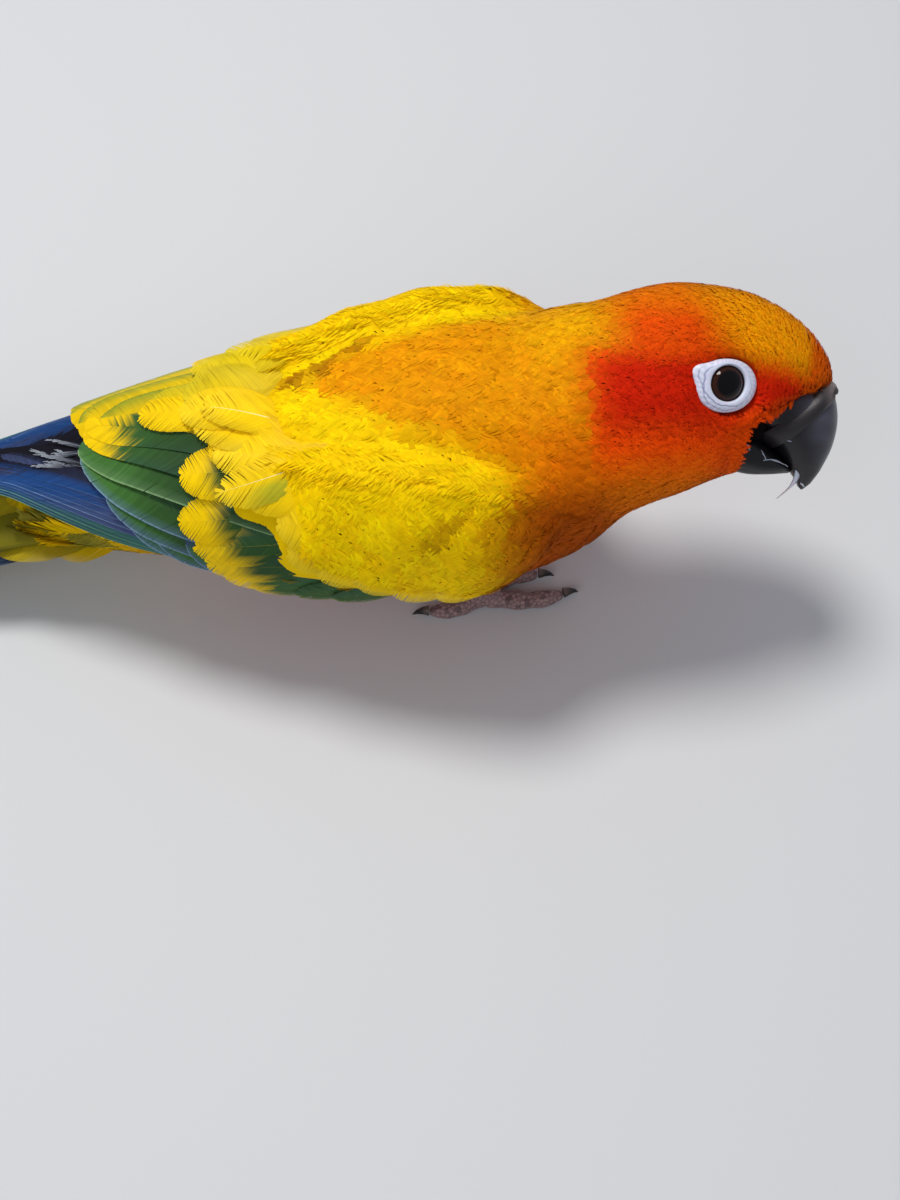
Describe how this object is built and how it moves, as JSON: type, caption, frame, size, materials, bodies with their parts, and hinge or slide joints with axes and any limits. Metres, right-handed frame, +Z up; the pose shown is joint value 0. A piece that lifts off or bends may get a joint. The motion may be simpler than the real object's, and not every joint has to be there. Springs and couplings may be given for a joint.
{
  "type": "sun conure",
  "caption": "Life-size still model of a sun conure, a small orange and yellow parakeet, crouched with folded wings, a long graduated tail laid behind and its head rolled over.",
  "frame": {"origin": "on the ground under the middle of the length and width of the whole bird", "axes": "+X forwards, from the tail to the bill; +Y to the left of the bird; +Z up"},
  "size_m": [0.2767, 0.0612, 0.0723],
  "materials": {
    "plumage_head": "soft orange-red feathers",
    "plumage_body": "soft golden orange feathers",
    "wing_feathers": "yellow feathers, the flight feathers green and blue",
    "tail_feathers": "olive-green feathers with blue ends",
    "bill_horn": "dull dark horn",
    "cere_skin": "bare skin",
    "eye_dark": "wet and glossy",
    "eye_ring_skin": "bare wrinkled skin",
    "foot_scales": "scaly skin",
    "claw_horn": "dark horn"
  },
  "bodies": {
    "root": {"bill_lower": "bill_horn", "bill_upper": "bill_horn", "cere": "cere_skin", "claw_left_1": "claw_horn", "claw_left_2": "claw_horn", "claw_left_3": "claw_horn", "claw_left_4": "claw_horn", "claw_right_1": "claw_horn", "claw_right_2": "claw_horn", "claw_right_3": "claw_horn", "claw_right_4": "claw_horn", "eye_left": "eye_dark", "eye_right": "eye_dark", "eyelids_left": "eye_ring_skin", "eyelids_right": "eye_ring_skin", "foot_left": "foot_scales", "foot_right": "foot_scales", "head": "plumage_head", "neck": "plumage_body", "shank_left": "foot_scales", "shank_right": "foot_scales", "tail": "tail_feathers", "thigh_left": "plumage_body", "thigh_right": "plumage_body", "trunk": "plumage_body", "wing_left": "wing_feathers", "wing_right": "wing_feathers"}
  },
  "joints": []
}
